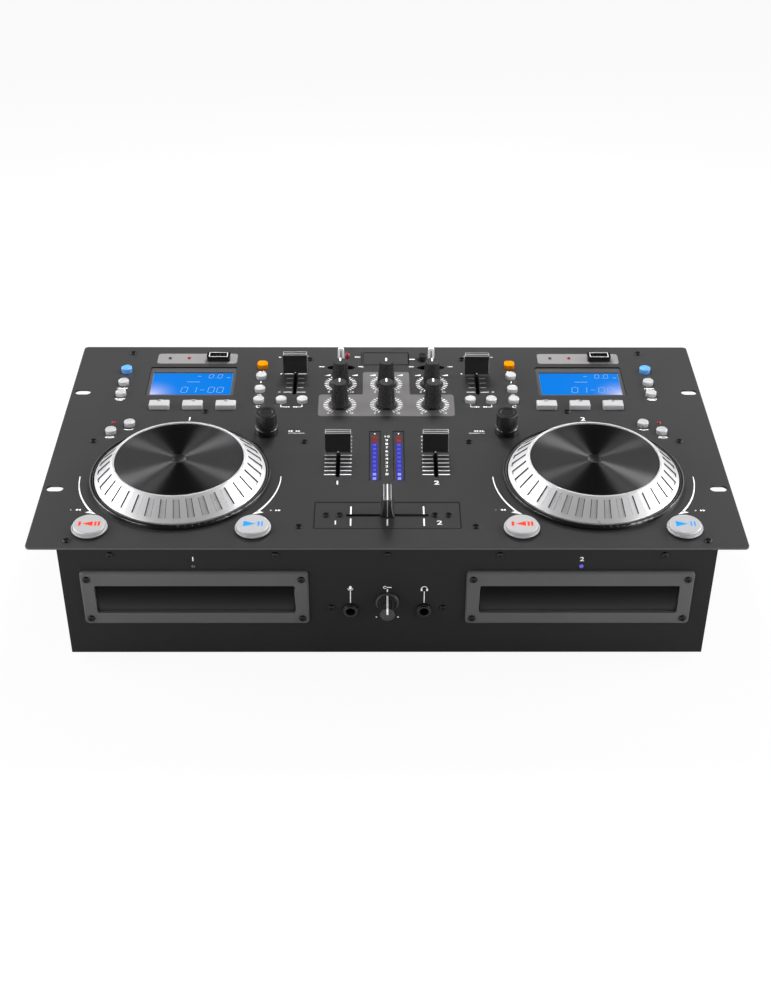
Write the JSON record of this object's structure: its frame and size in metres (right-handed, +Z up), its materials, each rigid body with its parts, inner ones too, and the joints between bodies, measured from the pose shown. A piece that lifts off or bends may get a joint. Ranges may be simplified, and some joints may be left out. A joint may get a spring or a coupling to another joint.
{
  "type": "dual disc player mixer console",
  "caption": "Rack-width DJ console with two disc drives in front, a jog wheel and blue display on each deck, and a mixer with faders and knobs between them.",
  "frame": {"origin": "centre of the whole object's footprint, on the surface its feet stand on", "axes": "+X to the user's right along the panel, +Y to the back, +Z up"},
  "size_m": [0.4826, 0.2834, 0.1206],
  "materials": {
    "panel_paint": "satin",
    "case_paint": "satin",
    "bezel_plastic": "satin",
    "drive_steel": "satin",
    "board_green": "matte",
    "display_glass": "gloss",
    "port_black": "satin",
    "ring_gloss": "gloss",
    "meter_window": "gloss",
    "lamp_lens": "gloss",
    "screw_steel": "gloss",
    "socket_plastic": "satin",
    "foot_rubber": "matte",
    "knob_black": "satin",
    "lever_chrome": "polished",
    "silver_plastic": "satin metallic",
    "eject_blue": "gloss",
    "pitch_yellow": "gloss",
    "tray_black": "satin"
  },
  "bodies": {
    "console": {"top_panel": "panel_paint", "chassis_tub": "case_paint", "front_panel": "case_paint", "rear_panel": "case_paint", "drive_bezels": "bezel_plastic", "cd_drives": "drive_steel", "circuit_boards": "board_green", "display_modules": "display_glass", "usb_sockets": "port_black", "jog_base_rings": "ring_gloss", "crossfader_plate": "panel_paint", "level_meters": "meter_window", "status_lamps": "lamp_lens", "case_screws": "screw_steel", "front_jacks": "port_black", "rear_sockets": "socket_plastic", "mains_inlet": "port_black", "feet": "foot_rubber"},
    "jog_a": {"jog_ring_a": "silver_plastic", "jog_disc_a": "ring_gloss"},
    "cue_button_a": {"cue_button_a": "silver_plastic"},
    "play_button_a": {"play_button_a": "silver_plastic"},
    "eject_button_a": {"eject_button_a": "eject_blue"},
    "program_keys_a": {"program_keys_a": "silver_plastic"},
    "loop_keys_a": {"loop_keys_a": "silver_plastic"},
    "mode_keys_a": {"mode_keys_a": "silver_plastic"},
    "pitch_button_a": {"pitch_button_a": "pitch_yellow"},
    "track_keys_a": {"track_keys_a": "silver_plastic"},
    "bend_keys_a": {"bend_keys_a": "silver_plastic"},
    "pitch_fader_a": {"pitch_fader_a": "knob_black"},
    "select_knob_a": {"select_knob_a": "knob_black"},
    "disc_tray_a": {"disc_tray_a": "tray_black"},
    "source_lever_a": {"source_lever_a": "lever_chrome"},
    "channel_fader_a": {"channel_fader_a": "knob_black"},
    "jog_b": {"jog_ring_b": "silver_plastic", "jog_disc_b": "ring_gloss"},
    "cue_button_b": {"cue_button_b": "silver_plastic"},
    "play_button_b": {"play_button_b": "silver_plastic"},
    "eject_button_b": {"eject_button_b": "eject_blue"},
    "program_keys_b": {"program_keys_b": "silver_plastic"},
    "loop_keys_b": {"loop_keys_b": "silver_plastic"},
    "mode_keys_b": {"mode_keys_b": "silver_plastic"},
    "pitch_button_b": {"pitch_button_b": "pitch_yellow"},
    "track_keys_b": {"track_keys_b": "silver_plastic"},
    "bend_keys_b": {"bend_keys_b": "silver_plastic"},
    "pitch_fader_b": {"pitch_fader_b": "knob_black"},
    "select_knob_b": {"select_knob_b": "knob_black"},
    "disc_tray_b": {"disc_tray_b": "tray_black"},
    "source_lever_b": {"source_lever_b": "lever_chrome"},
    "channel_fader_b": {"channel_fader_b": "knob_black"},
    "crossfader_cap": {"crossfader_cap": "knob_black"},
    "level_knob_left": {"level_knob_left": "knob_black"},
    "level_knob_centre": {"level_knob_centre": "knob_black"},
    "level_knob_right": {"level_knob_right": "knob_black"},
    "tone_knob_left": {"tone_knob_left": "knob_black"},
    "tone_knob_centre": {"tone_knob_centre": "knob_black"},
    "tone_knob_right": {"tone_knob_right": "knob_black"},
    "cue_knob": {"cue_knob": "knob_black"},
    "talkover_button": {"talkover_button": "knob_black"},
    "power_rocker": {"power_rocker": "port_black"}
  },
  "joints": [
    {"name": "jog_a_spin", "type": "hinge", "parent": "console", "child": "jog_a", "pos_m": [-0.146, -0.0469, 0.1002], "axis": [0, 0, 1], "continuous": true},
    {"name": "cue_button_a_press", "type": "slide", "parent": "console", "child": "cue_button_a", "axis": [0, 0, -1], "range_m": [0, 0.0006], "stiffness_N_per_m": 400, "springref_m": -0.001},
    {"name": "play_button_a_press", "type": "slide", "parent": "console", "child": "play_button_a", "axis": [0, 0, -1], "range_m": [0, 0.0006], "stiffness_N_per_m": 400, "springref_m": -0.001},
    {"name": "eject_button_a_press", "type": "slide", "parent": "console", "child": "eject_button_a", "axis": [0, 0, -1], "range_m": [0, 0.0006], "stiffness_N_per_m": 200, "springref_m": -0.001},
    {"name": "program_keys_a_press", "type": "slide", "parent": "console", "child": "program_keys_a", "axis": [0, 0, -1], "range_m": [0, 0.0006], "stiffness_N_per_m": 200, "springref_m": -0.001},
    {"name": "loop_keys_a_press", "type": "slide", "parent": "console", "child": "loop_keys_a", "axis": [0, 0, -1], "range_m": [0, 0.0006], "stiffness_N_per_m": 400, "springref_m": -0.001},
    {"name": "mode_keys_a_press", "type": "slide", "parent": "console", "child": "mode_keys_a", "axis": [0, 0, -1], "range_m": [0, 0.0006], "stiffness_N_per_m": 200, "springref_m": -0.001},
    {"name": "pitch_button_a_press", "type": "slide", "parent": "console", "child": "pitch_button_a", "axis": [0, 0, -1], "range_m": [0, 0.0006], "stiffness_N_per_m": 200, "springref_m": -0.001},
    {"name": "track_keys_a_press", "type": "slide", "parent": "console", "child": "track_keys_a", "axis": [0, 0, -1], "range_m": [0, 0.0006], "stiffness_N_per_m": 200, "springref_m": -0.001},
    {"name": "bend_keys_a_rock", "type": "hinge", "parent": "console", "child": "bend_keys_a", "pos_m": [-0.0719, 0.0537, 0.0966], "axis": [0, 1, 0], "range_deg": [-2, 2], "stiffness_Nm_per_rad": 0.1},
    {"name": "pitch_fader_a_slide", "type": "slide", "parent": "console", "child": "pitch_fader_a", "axis": [0, 1, 0], "range_m": [-0.0252, 0.029]},
    {"name": "select_knob_a_turn", "type": "hinge", "parent": "console", "child": "select_knob_a", "pos_m": [-0.0884, 0.0109, 0.1002], "axis": [0, 0, 1], "continuous": true},
    {"name": "disc_tray_a_slide", "type": "slide", "parent": "console", "child": "disc_tray_a", "axis": [0, -1, 0], "range_m": [0, 0.13]},
    {"name": "source_lever_a_tilt", "type": "hinge", "parent": "console", "child": "source_lever_a", "pos_m": [-0.0352, 0.1037, 0.0882], "axis": [0, 1, 0], "range_deg": [-25, 25]},
    {"name": "channel_fader_a_slide", "type": "slide", "parent": "console", "child": "channel_fader_a", "axis": [0, 1, 0], "range_m": [-0.0258, 0.0233]},
    {"name": "jog_b_spin", "type": "hinge", "parent": "console", "child": "jog_b", "pos_m": [0.146, -0.0469, 0.1002], "axis": [0, 0, 1], "continuous": true},
    {"name": "cue_button_b_press", "type": "slide", "parent": "console", "child": "cue_button_b", "axis": [0, 0, -1], "range_m": [0, 0.0006], "stiffness_N_per_m": 400, "springref_m": -0.001},
    {"name": "play_button_b_press", "type": "slide", "parent": "console", "child": "play_button_b", "axis": [0, 0, -1], "range_m": [0, 0.0006], "stiffness_N_per_m": 400, "springref_m": -0.001},
    {"name": "eject_button_b_press", "type": "slide", "parent": "console", "child": "eject_button_b", "axis": [0, 0, -1], "range_m": [0, 0.0006], "stiffness_N_per_m": 200, "springref_m": -0.001},
    {"name": "program_keys_b_press", "type": "slide", "parent": "console", "child": "program_keys_b", "axis": [0, 0, -1], "range_m": [0, 0.0006], "stiffness_N_per_m": 200, "springref_m": -0.001},
    {"name": "loop_keys_b_press", "type": "slide", "parent": "console", "child": "loop_keys_b", "axis": [0, 0, -1], "range_m": [0, 0.0006], "stiffness_N_per_m": 400, "springref_m": -0.001},
    {"name": "mode_keys_b_press", "type": "slide", "parent": "console", "child": "mode_keys_b", "axis": [0, 0, -1], "range_m": [0, 0.0006], "stiffness_N_per_m": 200, "springref_m": -0.001},
    {"name": "pitch_button_b_press", "type": "slide", "parent": "console", "child": "pitch_button_b", "axis": [0, 0, -1], "range_m": [0, 0.0006], "stiffness_N_per_m": 200, "springref_m": -0.001},
    {"name": "track_keys_b_press", "type": "slide", "parent": "console", "child": "track_keys_b", "axis": [0, 0, -1], "range_m": [0, 0.0006], "stiffness_N_per_m": 200, "springref_m": -0.001},
    {"name": "bend_keys_b_rock", "type": "hinge", "parent": "console", "child": "bend_keys_b", "pos_m": [0.0719, 0.0537, 0.0966], "axis": [0, 1, 0], "range_deg": [-2, 2], "stiffness_Nm_per_rad": 0.1},
    {"name": "pitch_fader_b_slide", "type": "slide", "parent": "console", "child": "pitch_fader_b", "axis": [0, 1, 0], "range_m": [-0.0235, 0.0307]},
    {"name": "select_knob_b_turn", "type": "hinge", "parent": "console", "child": "select_knob_b", "pos_m": [0.0884, 0.0109, 0.1002], "axis": [0, 0, 1], "continuous": true},
    {"name": "disc_tray_b_slide", "type": "slide", "parent": "console", "child": "disc_tray_b", "axis": [0, -1, 0], "range_m": [0, 0.13]},
    {"name": "source_lever_b_tilt", "type": "hinge", "parent": "console", "child": "source_lever_b", "pos_m": [0.0352, 0.1037, 0.0882], "axis": [0, 1, 0], "range_deg": [-25, 25]},
    {"name": "channel_fader_b_slide", "type": "slide", "parent": "console", "child": "channel_fader_b", "axis": [0, 1, 0], "range_m": [-0.0258, 0.0233]},
    {"name": "crossfader_slide", "type": "slide", "parent": "console", "child": "crossfader_cap", "axis": [1, 0, 0], "range_m": [-0.025, 0.025]},
    {"name": "level_knob_left_turn", "type": "hinge", "parent": "console", "child": "level_knob_left", "pos_m": [-0.0352, 0.0789, 0.1002], "axis": [0, 0, 1], "range_deg": [-150, 150]},
    {"name": "level_knob_centre_turn", "type": "hinge", "parent": "console", "child": "level_knob_centre", "pos_m": [0, 0.0789, 0.1002], "axis": [0, 0, 1], "range_deg": [-150, 150]},
    {"name": "level_knob_right_turn", "type": "hinge", "parent": "console", "child": "level_knob_right", "pos_m": [0.0352, 0.0789, 0.1002], "axis": [0, 0, 1], "range_deg": [-150, 150]},
    {"name": "tone_knob_left_turn", "type": "hinge", "parent": "console", "child": "tone_knob_left", "pos_m": [-0.0352, 0.0486, 0.1002], "axis": [0, 0, 1], "range_deg": [-150, 150]},
    {"name": "tone_knob_centre_turn", "type": "hinge", "parent": "console", "child": "tone_knob_centre", "pos_m": [0, 0.0486, 0.1002], "axis": [0, 0, 1], "range_deg": [-150, 150]},
    {"name": "tone_knob_right_turn", "type": "hinge", "parent": "console", "child": "tone_knob_right", "pos_m": [0.0352, 0.0486, 0.1002], "axis": [0, 0, 1], "range_deg": [-150, 150]},
    {"name": "cue_knob_turn", "type": "hinge", "parent": "console", "child": "cue_knob", "pos_m": [0, -0.12725, 0.0518], "axis": [0, 1, 0], "range_deg": [-150, 150]},
    {"name": "talkover_button_press", "type": "slide", "parent": "console", "child": "talkover_button", "axis": [0, 0, -1], "range_m": [0, 0.0006], "stiffness_N_per_m": 200, "springref_m": -0.001},
    {"name": "power_rocker_tilt", "type": "hinge", "parent": "console", "child": "power_rocker", "pos_m": [0.136, 0.13005, 0.0442], "axis": [1, 0, 0], "range_deg": [0, 16]}
  ]
}
